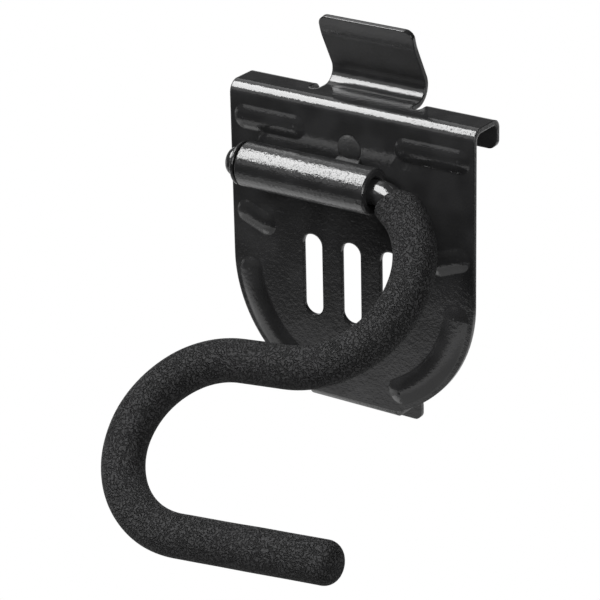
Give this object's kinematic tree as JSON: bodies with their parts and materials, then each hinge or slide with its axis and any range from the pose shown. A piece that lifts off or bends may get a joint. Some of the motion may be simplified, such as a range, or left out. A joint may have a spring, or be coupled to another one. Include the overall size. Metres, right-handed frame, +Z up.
{
  "type": "swinging garage utility hook",
  "caption": "Stamped steel wall bracket that hooks over slatted garage panels, with a rubber-coated S-shaped hook that swings in a barrel welded across its front.",
  "frame": {"origin": "on the plate's back face, mid-width, at the height of the pivot axis", "axes": "+X along the pivot to the viewer's right, +Y back into the wall panel, +Z up"},
  "size_m": [0.078, 0.0929, 0.1022],
  "materials": {
    "powder_coat": "glossy black powder coat on steel, slight orange peel",
    "coating": "matte black rubber with a fine wrinkled grain"
  },
  "bodies": {
    "bracket": {"back_plate": "powder_coat", "pivot_barrel": "powder_coat", "weld_beads": "powder_coat"},
    "hook": {"hook_rod": "powder_coat", "rod_coating": "coating", "retaining_cap": "powder_coat"}
  },
  "joints": [
    {"name": "hook_swing", "type": "hinge", "parent": "bracket", "child": "hook", "pos_m": [0, -0.0068, 0], "axis": [1, 0, 0], "range_deg": [-122, 44]}
  ]
}
